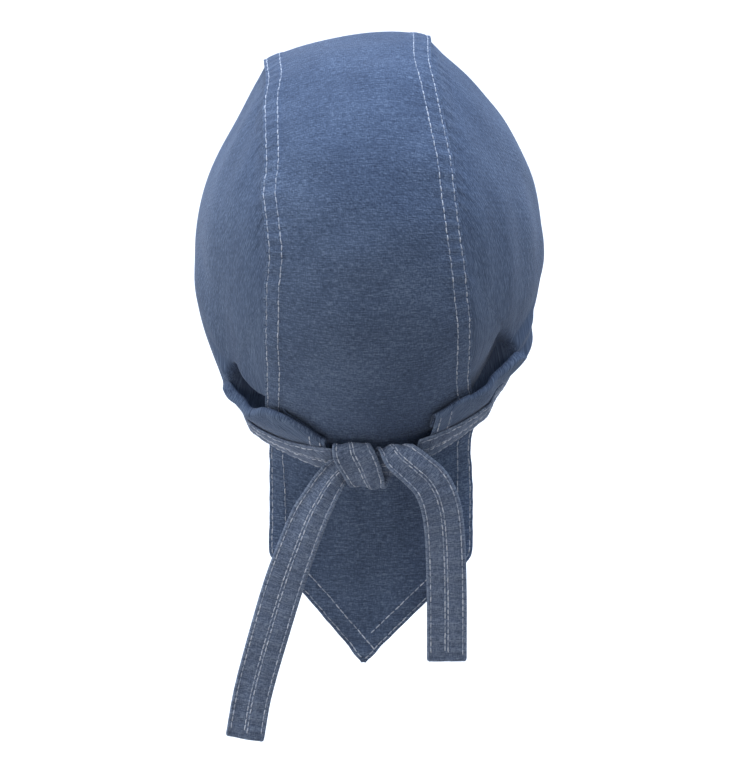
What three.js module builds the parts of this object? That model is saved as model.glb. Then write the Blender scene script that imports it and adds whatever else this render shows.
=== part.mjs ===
import * as THREE from "three";

// A chef's head wrap of blue denim, tied at the nape, as it sits on a head.
// Millimetres, +Z up. The wearer looks along -Y, so +X is the wearer's left and +Y the back.
// The origin is where the top of the head touches the inside of the crown.

// Driving dimensions
const CLOTH = 1.2; // one panel's wall
const GAP = 0.3; // between pieces that lie on each other
const CROWN_HEIGHT = 98; // from the middle of the head to the top of the crown
const HALF_WIDTH_LEFT = 80.5; // from the middle of the head to its left side
const HALF_WIDTH_RIGHT = 79.5;
const STRIP_WIDTH = 18; // the band and the ties
const STRIP_THICK = 2.4; // a folded strip
const BAND_OVERHANG = 1; // how far the band reaches below the rim
const BAND_CLEARANCE = 5 * GAP; // between the band and the cloth it binds

// The two seams
const SEAM_LAP = 7; // how far a side panel reaches under the centre panel
const SEAM_FADE = 13; // how fast the raised seam dies out over the side panel
const SEAM_FADE_POWER = 1.3; // and how abruptly
const SEAM_HOLLOW = 55; // how fast it dies out towards the middle of the centre panel

// Where the centre panel lies, as angles round the head from the forehead
const FOREHEAD = 13; // where it begins
const NAPE = 234; // where its middle leaves the head
const NAPE_DROOP = 11; // how much further round its edges leave it
const DROOP_START = 195; // where its edges begin to run lower than its middle

// Where a side panel lies
const PANEL_FRONT = 19; // azimuth at which it begins, at the forehead
const SEAM_START = 16; // angle at which its seam begins
const SEAM_END = 219; // angle at which its seam ends
const SEAM_AZIMUTH = 140; // azimuth at which the row from the seam's end meets the rim
// Towards the seam's end the panel comes out from under the centre panel and then lies over it.
const COMES_OUT = { from: 0.78, to: 0.87, over: 0.913 }; // shares of the seam where that happens
const COMING_OUT_LAP = -0.6; // the lap in between, which stops short of the centre panel
const FREE_LAP = 3; // the lap over the centre panel at the seam's end
const FREE_START = 2; // how far below the fold the last row begins, hidden behind it
const FREE_REACH = 5; // the most that a free row's fold may stand above the row's beginning
const CLIMB_START = 3.5; // how far past the centre panel's edge the free corner lies raised over it
const CLIMB_END = 9; // and where it has come down to the side
const PLEAT_START = 0.1; // least share of a row that lies above the pleat's fold
const FLAT_START = 0.3; // the same where the cloth lies flat
const PLEAT_OPENS = 2; // depth of the tuck from which a row is fully pleated
const FLAT_SPACING = 2; // between the pleat's columns where the cloth lies flat
const FLAT_SHARE = 0.06; // and at most this share of a short row
const PLEAT_REACH = 3.5; // columns from the fold to the first one on either side of the pleat
const TURN_SWELL = 0.25; // how round a fold is, as a share of the pleat's stand

// Rows and columns of the walls
const CROWN_ROWS = 34;
const CROWN_COLUMNS = 10;
const SEAM_ROWS = 23;
const CORNER_ROWS = 11;
const BAND_ROWS = 33;
const BAND_COLUMNS = 4;
const TIE_ROWS = 4; // from one point of a tie's table to the next
const TIE_COLUMNS = 2;

const DENIM = 0x4f648f;
const DENIM_STRIP = 0x4a5c82;

const CENTRE = new THREE.Vector3(0, 0, -CROWN_HEIGHT); // the middle of the head
const CENTRE_LIFT = CLOTH + GAP + CLOTH / 2; // from the head to the middle of the centre panel's wall
const OVER_CENTRE = CENTRE_LIFT + CLOTH + GAP; // the same for cloth that lies on the centre panel
const OVER_FOREHEAD = CENTRE_LIFT + 2 * GAP; // the same under the band, where the seams end

// Sections of the crown. Each is cut by a half plane through the left-right axis of the head's middle.
// angle: 0 is the forehead, 90 the top, 180 the back.
// radius: from the middle of the head to the cloth, in the middle plane.
// fullLeft, fullRight: how square the section is on each side, where 2 is an ellipse.
// seamLeft, seamRight: X of the centre panel's edges.
// ridgeLeft, ridgeRight: how far each seam stands above the round form.
const SECTION_COLUMNS =
  ["angle", "radius", "fullLeft", "fullRight", "seamLeft", "seamRight", "ridgeLeft", "ridgeRight"];
const SECTIONS = table(SECTION_COLUMNS, [
  [-90, 95, 2, 2, 34, -34, 0, 0],
  [0, 95, 2, 2, 35, -31, 1.5, 1.5],
  [35, 95.5, 2, 2, 40.2, -27.5, 4, 4],
  [75, 92.7, 1.87, 2, 43.2, -25.4, 9.2, 7.6],
  [100, 92.4, 1.87, 2, 43.4, -26.8, 7.2, 6.8],
  [125, 95.3, 1.9, 1.92, 45.2, -31.2, 3.5, 4],
  [153, 98, 2, 2, 46, -37.8, 1.5, 1.5],
  [180, 97.5, 2.05, 2.05, 45.6, -42.8, 1, 1],
  [196, 97, 2.1, 2.05, 46.3, -44.6, 0.5, 0.5],
  [210, 97.5, 2.1, 1.93, 46.3, -44.8, 0, 0],
  [220, 99, 2.07, 1.88, 46.2, -45.4, 0, 0],
  [232, 103, 2, 1.83, 46.3, -46.2, 0, 0],
  [245, 107, 1.93, 1.83, 46.5, -46.5, 0, 0],
  [270, 110, 1.93, 1.9, 46.5, -46.5, 0, 0],
]);

// The rim, by azimuth from the forehead round to the nape: how far it looks up from the head's middle.
const RIM = table(["azimuth", "left", "right"], [
  [0, 12, 12],
  [20, 11, 11],
  [45, 4, 4],
  [70, -9, -8],
  [90, -24, -22],
  [110, -38.8, -35.5],
  [130, -52, -47.3],
  [145, -55.5, -51.4],
  [165, -56, -54.3],
  [180, -56, -55],
]);

// The pleat in each side panel, by azimuth.
// edge: how far its fold is above the rim. depth: how deep the cloth is tucked in behind the fold.
// stand, bandStand: how far the fold, and the cloth under the band, stand off the panel behind them.
// tuck: how far the rim is drawn in from there.
const PLEAT_COLUMNS = ["azimuth", "edge", "depth", "stand", "bandStand", "tuck"];
const PLEATS = {
  left: table(PLEAT_COLUMNS, [
    [0, 30, 0, 0, 0, 0],
    [40, 30, 0, 0, -1, 0],
    [75, 27, 0, 0, -4, 0],
    [98, 23, 0, 0, -3.4, 0],
    [110, 22.5, 0, 0, -0.8, 0.5],
    [116, 23, 0.5, 0.5, -0.4, 1],
    [120, 24.5, 4, 5, 0.3, 1.2],
    [124, 27, 8, 8.5, 1.8, 1.4],
    [130, 31.5, 9, 8.5, 3, 2.5],
    [138, 32.3, 9, 8, 4.2, 3.4],
    [148, 32.5, 9, 6.5, 4.4, 3.2],
    [156, 27.4, 8, 5, 4, 2],
    [164, 20, 6, 3.8, 3.8, 1],
    [180, 20, 6, 3.8, 3.8, 0],
  ]),
  right: table(PLEAT_COLUMNS, [
    [0, 30, 0, 0, 0, 0],
    [40, 30, 0, 0, -1, 0],
    [75, 27, 0, 0, -4, 0],
    [98, 24, 0, 0, -3, 0],
    [104, 24.5, 0, 0, -2.5, 0.3],
    [109, 25.5, 0.5, 0.5, -1.5, 1],
    [113, 28.5, 4, 4.5, -0.3, 1.2],
    [118, 29.8, 8, 6.5, 1, 1.4],
    [126, 32.6, 9, 6.2, 2.6, 2.2],
    [136, 33, 9, 5.6, 4, 3.4],
    [146, 33.5, 9, 4.6, 4.2, 3],
    [158, 29.4, 7, 3.8, 3.8, 1],
    [180, 29.4, 7, 3.8, 3.8, 0],
  ]),
};

// Azimuths at which each side panel's free rear corner and each end of the band stop.
const CORNER = { left: 164, right: 158 };
const BAND_END = { left: 166.4, right: 162.5 };
// Over the forehead the band also covers the centre panel. It comes down to the side between these.
const BAND_FRONT = { from: 37, to: 53 };
const BAND_RISE = { from: 116, to: 124 }; // where it rises again over the free corner

// The tail, from the nape down. left, right: X of its edges. bow: how far the edges lie forward of the
// middle. lift: how far the edges of a row lie above its middle.
const TAIL = table(["z", "y", "left", "right", "bow", "lift"], [
  [-190, 58, 46.5, -46.5, 22, 5],
  [-197, 56, 46.5, -47, 19, 4],
  [-206, 56.5, 46.5, -47.5, 15, 2.5],
  [-219, 58.5, 46.5, -47.5, 11, 1],
  [-234, 60, 46.5, -47, 8.5, 0],
  [-238, 60.5, 43, -44, 7, 0],
  [-259, 61.5, 24, -22, 2.5, 0],
  [-282.5, 62, 4, 2.4, 0.1, 0],
]);

// The ties: points of each strip's middle line, its width there, and the way its outer face looks: pitch
// 0 is backwards, 90 up, -90 down, then turned towards the left ear by turn.
const TIE_POINT = ["x", "y", "z", "pitch", "turn", "width"];
// The left tie comes from the band's right end, through the coil of the right tie.
const TIE_LEFT = table(TIE_POINT, [
  [-19.5, 71.5, -181, -40, -14, 18],
  [-12, 74.2, -182.8, -18, -5, 14],
  [-3, 74.3, -183.5, -15, 0, 12.5],
  [6, 74, -184, -15, 0, 12.5],
  [13.5, 74.1, -186.5, -10, 5, 12.5],
  [19, 75.4, -192.5, 0, 10, 14],
  [23.7, 76.6, -200.5, 5, 12, 15.5],
  [28.5, 76.5, -210, 5, 10, 17],
  [38, 75, -236, 0, 5, 18],
  [45.5, 74, -261, 0, 2, 18],
  [54.5, 72, -295, 0, 0, 17.5],
  [58.5, 71.5, -317.5, 0, 0, 17.5],
]);
// The right tie comes from the band's left end, behind the left tie, and coils round it.
const TIE_RIGHT = table(TIE_POINT, [
  [10, 71.8, -179.4, 165, 0, 11],
  [9.6, 73.2, -176, 140, 0, 13],
  [8.8, 76.8, -174, 75, 0, 17],
  [7.8, 78.9, -177.3, 10, 0, 18],
  [4.4, 78, -184.4, -12, 0, 18],
  [1.2, 76.4, -191.8, -35, 0, 16],
  [-1, 72.4, -194.4, -105, 0, 13],
  [-3.4, 69.3, -190.4, -160, 0, 12],
  [-6.6, 70.4, -182.8, -195, 0, 11],
  [-8.4, 72.4, -176, -230, 0, 11],
  [-9.8, 77.2, -172.4, -290, 0, 12],
  [-13.8, 81.4, -175.8, -340, 0, 13],
  [-20.5, 81.8, -183, -362, -10, 15],
  [-27.5, 80.5, -191, -362, -12, 17],
  [-32, 79, -201, -360, -8, 18],
  [-34.2, 77, -215, -360, -4, 18],
  [-35.4, 74, -243, -360, 0, 18],
  [-35.7, 71, -279.5, -360, 0, 18],
]);

const { lerp, clamp, smoothstep, degToRad, radToDeg } = THREE.MathUtils;

// A table whose rows are objects with the named columns, and their place in the table.
function table(names, rows) {
  return rows.map((row, place) => {
    const entry = { place };
    names.forEach((name, k) => {
      entry[name] = row[k];
    });
    return entry;
  });
}

// The value of a table's column at a place, by a cubic through its rows with each row's mean slope.
function along(rows, key, column, place) {
  const last = rows.length - 1;
  const x = clamp(place, rows[0][key], rows[last][key]);
  let row = 0;
  while (row < last - 1 && x > rows[row + 1][key]) row += 1;
  const slope = (k) => {
    const before = rows[Math.max(k - 1, 0)];
    const after = rows[Math.min(k + 1, last)];
    return (after[column] - before[column]) / (after[key] - before[key]);
  };
  const from = rows[row];
  const to = rows[row + 1];
  const span = to[key] - from[key];
  const rise = to[column] - from[column];
  const leave = slope(row) * span;
  const arrive = slope(row + 1) * span;
  const t = (x - from[key]) / span;
  const bend = 3 * rise - 2 * leave - arrive + t * (leave + arrive - 2 * rise);
  return from[column] + t * (leave + t * bend);
}

// Evenly spaced numbers, ends included.
function steps(from, to, count) {
  return Array.from({ length: count + 1 }, (_, k) => from + ((to - from) * k) / count);
}

// A direction from the middle of the head: angle in a section's plane, side towards the left ear.
function directionOf(angle, side) {
  const a = degToRad(angle);
  return new THREE.Vector3(
    Math.sin(side),
    -Math.cos(side) * Math.cos(a),
    Math.cos(side) * Math.sin(a),
  );
}

// The angle and the side of a direction. Angles run on from the forehead's underside.
function anglesOf(direction) {
  const angle = radToDeg(Math.atan2(direction.z, -direction.y));
  return {
    angle: angle < SECTIONS[0].angle ? angle + 360 : angle,
    side: Math.asin(clamp(direction.x, -1, 1)),
  };
}

// The round form of the head: a superellipse in each section.
function roundRadius(angle, side) {
  const middle = along(SECTIONS, "angle", "radius", angle);
  const full = along(SECTIONS, "angle", side > 0 ? "fullLeft" : "fullRight", angle);
  const half = side > 0 ? HALF_WIDTH_LEFT : HALF_WIDTH_RIGHT;
  const across = Math.abs(Math.sin(side)) / half;
  const inPlane = Math.abs(Math.cos(side)) / middle;
  return (inPlane ** full + across ** full) ** (-1 / full);
}

// The side at which a section reaches a given X, closer with each pass.
function sideAt(angle, x) {
  const passes = 7;
  let side = 0;
  for (let pass = 0; pass < passes; pass += 1) {
    side = Math.asin(clamp(x / roundRadius(angle, side), -1, 1));
  }
  return side;
}

function seamSide(angle, name) {
  return sideAt(angle, along(SECTIONS, "angle", name, angle));
}

// The inner face of the cloth: the round form, raised along both seams and hollow between them.
function crownRadius(angle, side) {
  const round = roundRadius(angle, side);
  const rise = (past, ridge) => {
    if (past > 0) return ridge * Math.exp(-((past / SEAM_FADE) ** SEAM_FADE_POWER));
    return ridge * Math.max(1 + past / SEAM_HOLLOW, 0);
  };
  const pastLeft = (side - seamSide(angle, "seamLeft")) * round;
  const pastRight = (seamSide(angle, "seamRight") - side) * round;
  const left = rise(pastLeft, along(SECTIONS, "angle", "ridgeLeft", angle));
  const right = rise(pastRight, along(SECTIONS, "angle", "ridgeRight", angle));
  return round + Math.hypot(left, right);
}

// The point of the cloth in a direction, lifted off the inner face.
function onHead(direction, lift) {
  const { angle, side } = anglesOf(direction);
  return direction.clone().multiplyScalar(crownRadius(angle, side) + lift).add(CENTRE);
}

// A closed wall round a grid of points, which becomes its middle surface.
// flip turns the wall's faces round where the rows and columns run the other way.
function wall(grid, thickness, flip) {
  const rows = grid.length;
  const columns = grid[0].length;
  const half = thickness / 2;
  const outer = [];
  const inner = [];
  for (let i = 0; i < rows; i += 1) {
    for (let j = 0; j < columns; j += 1) {
      const down = grid[Math.min(i + 1, rows - 1)][j].clone().sub(grid[Math.max(i - 1, 0)][j]);
      const over = grid[i][Math.min(j + 1, columns - 1)].clone().sub(grid[i][Math.max(j - 1, 0)]);
      const normal = down.cross(over).normalize().multiplyScalar(flip ? -half : half);
      outer.push(grid[i][j].clone().add(normal));
      inner.push(grid[i][j].clone().sub(normal));
    }
  }
  const points = [...outer, ...inner];
  const back = outer.length;
  const faces = [];
  const quad = (a, b, c, d) => faces.push(...(flip ? [a, c, b, a, d, c] : [a, b, c, a, c, d]));
  const at = (i, j) => i * columns + j;
  for (let i = 0; i < rows - 1; i += 1) {
    for (let j = 0; j < columns - 1; j += 1) {
      quad(at(i, j), at(i + 1, j), at(i + 1, j + 1), at(i, j + 1));
      quad(back + at(i, j), back + at(i, j + 1), back + at(i + 1, j + 1), back + at(i + 1, j));
    }
  }
  for (let i = 0; i < rows - 1; i += 1) {
    const end = columns - 1;
    quad(at(i, 0), back + at(i, 0), back + at(i + 1, 0), at(i + 1, 0));
    quad(at(i, end), at(i + 1, end), back + at(i + 1, end), back + at(i, end));
  }
  for (let j = 0; j < columns - 1; j += 1) {
    const end = rows - 1;
    quad(at(0, j), at(0, j + 1), back + at(0, j + 1), back + at(0, j));
    quad(at(end, j), back + at(end, j), back + at(end, j + 1), at(end, j + 1));
  }
  const geometry = new THREE.BufferGeometry();
  const positions = points.flatMap((p) => [p.x, p.y, p.z]);
  geometry.setAttribute("position", new THREE.Float32BufferAttribute(positions, 3));
  geometry.setIndex(faces);
  geometry.computeVertexNormals();
  return geometry;
}

// The centre panel: rows over the crown, then the rows of the tail.
function centrePanel() {
  const crownRows = steps(FOREHEAD, NAPE, CROWN_ROWS).map((angle) => {
    const left = seamSide(angle, "seamLeft");
    const right = seamSide(angle, "seamRight");
    const droop = NAPE_DROOP * smoothstep(angle, DROOP_START, NAPE);
    return steps(-1, 1, CROWN_COLUMNS).map((t) => {
      const side = lerp(right, left, (t + 1) / 2);
      return onHead(directionOf(angle + droop * t * t, side), CENTRE_LIFT);
    });
  });
  const tailRows = TAIL.map((row) => {
    const middle = (row.left + row.right) / 2;
    const half = (row.left - row.right) / 2;
    return steps(-1, 1, CROWN_COLUMNS).map((t) => {
      return new THREE.Vector3(middle + half * t, row.y - row.bow * t * t, row.z + row.lift * t * t);
    });
  });
  return wall([...crownRows, ...tailRows], CLOTH, false);
}

// The direction of the rim, or of a place a given height above it, at an azimuth.
function rimDirection(sideName, azimuth, height) {
  const sign = sideName === "left" ? 1 : -1;
  const rise = degToRad(along(RIM, "azimuth", sideName, azimuth)) + height / CROWN_HEIGHT;
  const turn = degToRad(azimuth);
  return new THREE.Vector3(
    sign * Math.sin(turn) * Math.cos(rise),
    -Math.cos(turn) * Math.cos(rise),
    Math.sin(rise),
  );
}

// How far the middle of a side panel's wall lies off the inner face, behind its pleat.
// corner is 1 for the free rear corner, which comes out past the centre panel's edge and lies on it.
function panelLift(direction, corner) {
  const { angle, side } = anglesOf(direction);
  const name = direction.x > 0 ? "seamLeft" : "seamRight";
  const edge = Math.abs(along(SECTIONS, "angle", name, angle));
  const x = Math.abs(direction.x) * roundRadius(angle, side);
  const climb = corner * (1 - smoothstep(x, edge + CLIMB_START, edge + CLIMB_END));
  return lerp(CLOTH / 2, OVER_CENTRE, climb);
}

// How far the outer layer of the pleat stands off the panel, a given height above the rim.
function pleatLift(sideName, azimuth, height) {
  const value = (column) => along(PLEATS[sideName], "azimuth", column, azimuth);
  const tuck = value("tuck") * Math.max(1 - height / STRIP_WIDTH, 0);
  const atFold = Math.max(value("stand"), 0);
  return lerp(value("bandStand"), atFold, smoothstep(height, STRIP_WIDTH, value("edge"))) - tuck;
}

// The pleat's stretches, from the seam down: the panel, the turn at the bottom of the tuck, the layer
// behind the fold, the fold's own turn, and the outer layer down to the rim.
// Where there is no pleat its six columns lie side by side, from 2.5 columns above the fold to 2.5 below.
const STRETCHES = [
  ...steps(0, 1, 7).map((t) => ({ stretch: "panel", t })),
  ...[1 / 3, 2 / 3].map((t) => ({ stretch: "bottomTurn", t })),
  ...[0, 1].map((t) => ({ stretch: "back", t })),
  ...[1 / 3, 2 / 3].map((t) => ({ stretch: "foldTurn", t })),
  ...steps(0, 1, 4).map((t) => ({ stretch: "front", t })),
];

// The rows of a side panel: first those that start on the seam, then those of the free rear corner.
// reach: how far along the seam. free: how far along the free edge. corner: how far the row has come out
// from under the centre panel. lap: how far it reaches past the seam line.
function sideRows() {
  const seamRows = steps(0, 1, SEAM_ROWS).map((reach) => ({
    reach,
    free: 0,
    corner: smoothstep(reach, COMES_OUT.to, COMES_OUT.over),
    lap: lerp(
      lerp(SEAM_LAP, COMING_OUT_LAP, smoothstep(reach, COMES_OUT.from, COMES_OUT.to)),
      FREE_LAP,
      smoothstep(reach, COMES_OUT.over, 1),
    ),
  }));
  const cornerRows = steps(0, 1, CORNER_ROWS).slice(1).map((free) => ({
    reach: 1,
    free,
    corner: 1,
    lap: FREE_LAP,
  }));
  return [...seamRows, ...cornerRows];
}

function sidePanel(sideName) {
  const sign = sideName === "left" ? 1 : -1;
  const seamName = sideName === "left" ? "seamLeft" : "seamRight";
  const pleat = PLEATS[sideName];
  const lastHeight = along(pleat, "azimuth", "edge", CORNER[sideName]) - FREE_START;
  const lastStart = rimDirection(sideName, CORNER[sideName], lastHeight);
  const grid = sideRows().map(({ reach, free, corner, lap }) => {
    const angle = lerp(SEAM_START, SEAM_END, reach);
    const azimuth = lerp(lerp(PANEL_FRONT, SEAM_AZIMUTH, reach), CORNER[sideName], free);
    const edge = along(SECTIONS, "angle", seamName, angle);
    const onSeam = directionOf(angle, sideAt(angle, edge - sign * lap));
    const start = onSeam.lerp(lastStart, free).normalize();
    const end = rimDirection(sideName, azimuth, 0);
    const turn = start.angleTo(end);
    const fold = along(pleat, "azimuth", "edge", azimuth) / CROWN_HEIGHT;
    const depth = Math.max(along(pleat, "azimuth", "depth", azimuth), 0);
    const pleated = smoothstep(depth, 0, PLEAT_OPENS);
    const least = lerp(turn * lerp(FLAT_START, PLEAT_START, pleated), -FREE_REACH / CROWN_HEIGHT, corner);
    const foldAt = Math.max(turn - fold, least);
    const tuckAt = Math.min(foldAt + depth / CROWN_HEIGHT, turn);
    const outerOver = smoothstep(azimuth, BAND_RISE.from, BAND_RISE.to);
    const standAt = (travel) => pleatLift(sideName, azimuth, (turn - travel) * CROWN_HEIGHT);
    const pointAt = (travel, share) => {
      const place = Math.min(travel, turn);
      const fromStart = Math.sin(turn - place) / Math.sin(turn);
      const fromEnd = Math.sin(place) / Math.sin(turn);
      const direction = start.clone().multiplyScalar(fromStart).addScaledVector(end, fromEnd).normalize();
      const over = Math.max(corner, outerOver * Math.min(2 * share, 1));
      return onHead(direction, panelLift(direction, over) + share * standAt(travel));
    };
    const spacing = Math.min(FLAT_SPACING / CROWN_HEIGHT, FLAT_SHARE * turn);
    const settle = (travel, column) => lerp(foldAt + column * spacing, travel, pleated);
    const swellAt = (travel, t) => (Math.sin(t * Math.PI) * TURN_SWELL * standAt(travel)) / CROWN_HEIGHT;
    const halfTurn = (t) => (1 - Math.cos(t * Math.PI)) / 4;
    const points = {
      panel: (t) => pointAt(settle(tuckAt, -PLEAT_REACH) * t, 0),
      bottomTurn: (t) => pointAt(settle(tuckAt + swellAt(tuckAt, t), 3 * t - PLEAT_REACH), halfTurn(t)),
      back: (t) => pointAt(settle(lerp(tuckAt, foldAt, t), t - 0.5), 0.5),
      foldTurn: (t) => pointAt(settle(foldAt - swellAt(foldAt, t), 3 * t + 0.5), 0.5 + halfTurn(t)),
      front: (t) => pointAt(lerp(settle(foldAt, PLEAT_REACH), turn, t), 1),
    };
    return STRETCHES.map(({ stretch, t }) => points[stretch](t));
  });
  return wall(grid, CLOTH, sideName === "left");
}

// The band: round the rim from one side of the knot, over the forehead, to the other side.
function headBand() {
  const azimuths = [
    ...steps(-BAND_END.right, 0, BAND_ROWS),
    ...steps(0, BAND_END.left, BAND_ROWS).slice(1),
  ];
  const grid = azimuths.map((azimuth) => {
    const sideName = azimuth > 0 ? "left" : "right";
    const at = Math.abs(azimuth);
    const front = 1 - smoothstep(at, BAND_FRONT.from, BAND_FRONT.to);
    const corner = smoothstep(at, BAND_RISE.from, BAND_RISE.to);
    return steps(-BAND_OVERHANG, STRIP_WIDTH - BAND_OVERHANG, BAND_COLUMNS).map((height) => {
      const direction = rimDirection(sideName, at, height);
      const cloth = Math.max(panelLift(direction, corner), OVER_FOREHEAD * front) + CLOTH / 2;
      const stand = pleatLift(sideName, at, height);
      return onHead(direction, cloth + stand + BAND_CLEARANCE + STRIP_THICK / 2);
    });
  });
  return wall(grid, STRIP_THICK, false);
}

// A tie: a strip carried along a smooth line through its table's points, facing the way that they say.
function tie(points) {
  const curve = new THREE.CatmullRomCurve3(points.map(({ x, y, z }) => new THREE.Vector3(x, y, z)));
  const last = points.length - 1;
  const grid = steps(0, last, last * TIE_ROWS).map((place) => {
    const middle = curve.getPoint(place / last);
    const tangent = curve.getTangent(place / last);
    const pitch = degToRad(along(points, "place", "pitch", place));
    const turn = degToRad(along(points, "place", "turn", place));
    const width = along(points, "place", "width", place);
    const face = new THREE.Vector3(
      Math.cos(pitch) * Math.sin(turn),
      Math.cos(pitch) * Math.cos(turn),
      Math.sin(pitch),
    );
    const across = tangent.clone().cross(face).normalize();
    return steps(-width / 2, width / 2, TIE_COLUMNS).map((off) => {
      return middle.clone().addScaledVector(across, off);
    });
  });
  return wall(grid, STRIP_THICK, false);
}

function piece(name, geometry, colour) {
  const cloth = new THREE.MeshStandardMaterial({ color: colour, roughness: 0.9, metalness: 0 });
  const mesh = new THREE.Mesh(geometry, cloth);
  mesh.name = name;
  return mesh;
}

const wrap = new THREE.Group();
wrap.add(piece("centre_panel", centrePanel(), DENIM));
wrap.add(piece("side_panel_left", sidePanel("left"), DENIM));
wrap.add(piece("side_panel_right", sidePanel("right"), DENIM));
wrap.add(piece("head_band", headBand(), DENIM_STRIP));
wrap.add(piece("tie_left", tie(TIE_LEFT), DENIM_STRIP));
wrap.add(piece("tie_right", tie(TIE_RIGHT), DENIM_STRIP));

export default wrap;
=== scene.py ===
import math

import bpy
import numpy as np
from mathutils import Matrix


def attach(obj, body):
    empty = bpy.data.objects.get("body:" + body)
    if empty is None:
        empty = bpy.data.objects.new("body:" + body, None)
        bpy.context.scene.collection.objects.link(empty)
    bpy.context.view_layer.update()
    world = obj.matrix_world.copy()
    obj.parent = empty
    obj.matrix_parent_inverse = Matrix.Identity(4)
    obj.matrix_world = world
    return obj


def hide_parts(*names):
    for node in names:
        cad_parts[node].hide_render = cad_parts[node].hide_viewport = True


# A chef's head wrap of blue denim, tied at the nape, seen from behind.
# Shapes are worked out in millimetres and become metres when a mesh is made.
# +Z is up and the wearer looks along -Y, so +X is the wearer's left, and the picture's left.
# The form of the head, the pleats, the tail and the ties repeats the part's own dimensions.

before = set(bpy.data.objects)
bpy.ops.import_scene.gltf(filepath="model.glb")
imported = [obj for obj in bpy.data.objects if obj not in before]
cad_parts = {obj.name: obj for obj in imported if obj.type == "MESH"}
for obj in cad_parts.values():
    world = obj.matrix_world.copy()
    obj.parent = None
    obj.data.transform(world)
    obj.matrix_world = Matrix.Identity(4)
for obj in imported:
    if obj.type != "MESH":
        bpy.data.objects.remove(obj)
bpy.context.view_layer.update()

MM = 0.001
SEED = 7
rng = np.random.default_rng(SEED)

# The camera stands behind the head and a little above it, with a long lens.
PHOTO_SIZE = (747, 774)
PIXEL = 0.47  # millimetres of the object in one pixel, at the distance of the aim point
DISTANCE = 2000.0
ELEVATION = math.radians(15)
AIM = (-1.6, 17.3, -162.5)
SENSOR = 36.0
NEAR_CLIP = 0.1  # metres
FAR_CLIP = 20.0


def make_camera():
    """A camera on the line that leaves the aim point backwards and up, whose long side takes in the
    photograph's height."""
    data = bpy.data.cameras.new("camera")
    data.sensor_width = SENSOR
    data.lens = SENSOR * DISTANCE / (max(PHOTO_SIZE) * PIXEL)
    data.clip_start = NEAR_CLIP
    data.clip_end = FAR_CLIP
    camera = bpy.data.objects.new("camera", data)
    back = np.array([0, math.cos(ELEVATION), math.sin(ELEVATION)])
    camera.location = (np.array(AIM) + back * DISTANCE) * MM
    camera.rotation_euler = (math.pi / 2 - ELEVATION, 0, math.pi)
    bpy.context.scene.collection.objects.link(camera)
    bpy.context.scene.camera = camera


make_camera()


# Numbers along a line and small vector work

TINY = 1e-12
KNOT_STRAY = 0.3  # share of the spacing
RIPPLE_SIZES = (0.7, 1.5)  # shares of the length asked for


def smooth_line(x, y, place):
    """Values at a place on a line through the rows x, y: a cubic in each span, whose slope at a row is
    the mean slope between its neighbours. y may hold many lines, with the rows on its last axis."""
    rows = np.arange(len(x))
    before = np.maximum(rows - 1, 0)
    after = np.minimum(rows + 1, len(x) - 1)
    slope = (y[..., after] - y[..., before]) / (x[after] - x[before])
    place = np.clip(place, x[0], x[-1])
    row = np.clip(np.searchsorted(x, place) - 1, 0, len(x) - 2)
    span = x[row + 1] - x[row]
    t = (place - x[row]) / span
    rise = y[..., row + 1] - y[..., row]
    leave = slope[..., row] * span
    arrive = slope[..., row + 1] * span
    bend = 3 * rise - 2 * leave - arrive + t * (leave + arrive - 2 * rise)
    return y[..., row] + t * (leave + t * bend)


def table(names, rows):
    """A table's columns as arrays, by name."""
    return dict(zip(names.split(), np.array(rows, float).T))


def along(rows, column, place):
    """A table's column at a place in its first column."""
    return smooth_line(next(iter(rows.values())), rows[column], place)


def lerp(start, end, share):
    return start + (end - start) * share


def smoothstep(value, low, high):
    """0 below low, 1 above high, and an S curve between them."""
    t = np.clip((value - low) / (high - low), 0, 1)
    return t * t * (3 - 2 * t)


def bump(value, middle, width):
    """A bell: 1 at the middle, and about a third one width away."""
    return np.exp(-(((value - middle) / width) ** 2))


def unit(vector):
    return vector / np.maximum(np.linalg.norm(vector, axis=-1, keepdims=True), TINY)


def wander(place, spacing):
    """A random smooth line, about -1 to 1, with a new height about every spacing."""
    low, high = float(np.min(place)), float(np.max(place))
    knots = np.arange(low - spacing, high + 2 * spacing, spacing)
    knots[1:-1] += rng.uniform(-KNOT_STRAY, KNOT_STRAY, len(knots) - 2) * spacing
    heights = rng.uniform(-1, 1, len(knots))
    return smooth_line(knots, heights, place)


def ripples(along_it, across_it, length, count=9):
    """Soft unevenness of cloth, mostly -1 to 1: the sum of sine waves that run every way, divided by
    the square root of their number."""
    turn = rng.uniform(0, math.tau, count)
    start = rng.uniform(0, math.tau, count)
    size = length * rng.uniform(*RIPPLE_SIZES, count)
    total = 0
    for k in range(count):
        travel = along_it * math.cos(turn[k]) + across_it * math.sin(turn[k])
        total = total + np.sin(travel * math.tau / size[k] + start[k])
    return total / math.sqrt(count)


# The form of the head and of the panels on it
# Angles go over the head in degrees, 0 at the forehead and 180 at the back. Azimuths go round it the
# same way, and heights go up from the rim.

CLOTH = 0.7  # one layer of shirt-weight denim
CROWN_HEIGHT = 98  # also the radius that turns heights into angles
CENTRE = np.array([0, 0, -CROWN_HEIGHT])
HALF_WIDTH_LEFT = 80.5
HALF_WIDTH_RIGHT = 79.5
SIDE_PASSES = 7
SIDE_LIFT = 0.9  # from the head to the middle of the cloth
CENTRE_LIFT = 2.1
OVER_CENTRE = 3.6  # of a side panel's free corner
OVER_FOREHEAD = 2.7  # of the cloth under the band
SEAM_FADE = 13  # how far a raised seam dies out over a side panel
SEAM_FADE_POWER = 1.3
SEAM_HOLLOW = 55  # the same towards the middle

FOREHEAD = 13  # the angles of the centre panel's ends on the head
NAPE = 234
NAPE_DROOP = 11  # how far its edges run ahead there
DROOP_START = 195

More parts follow.
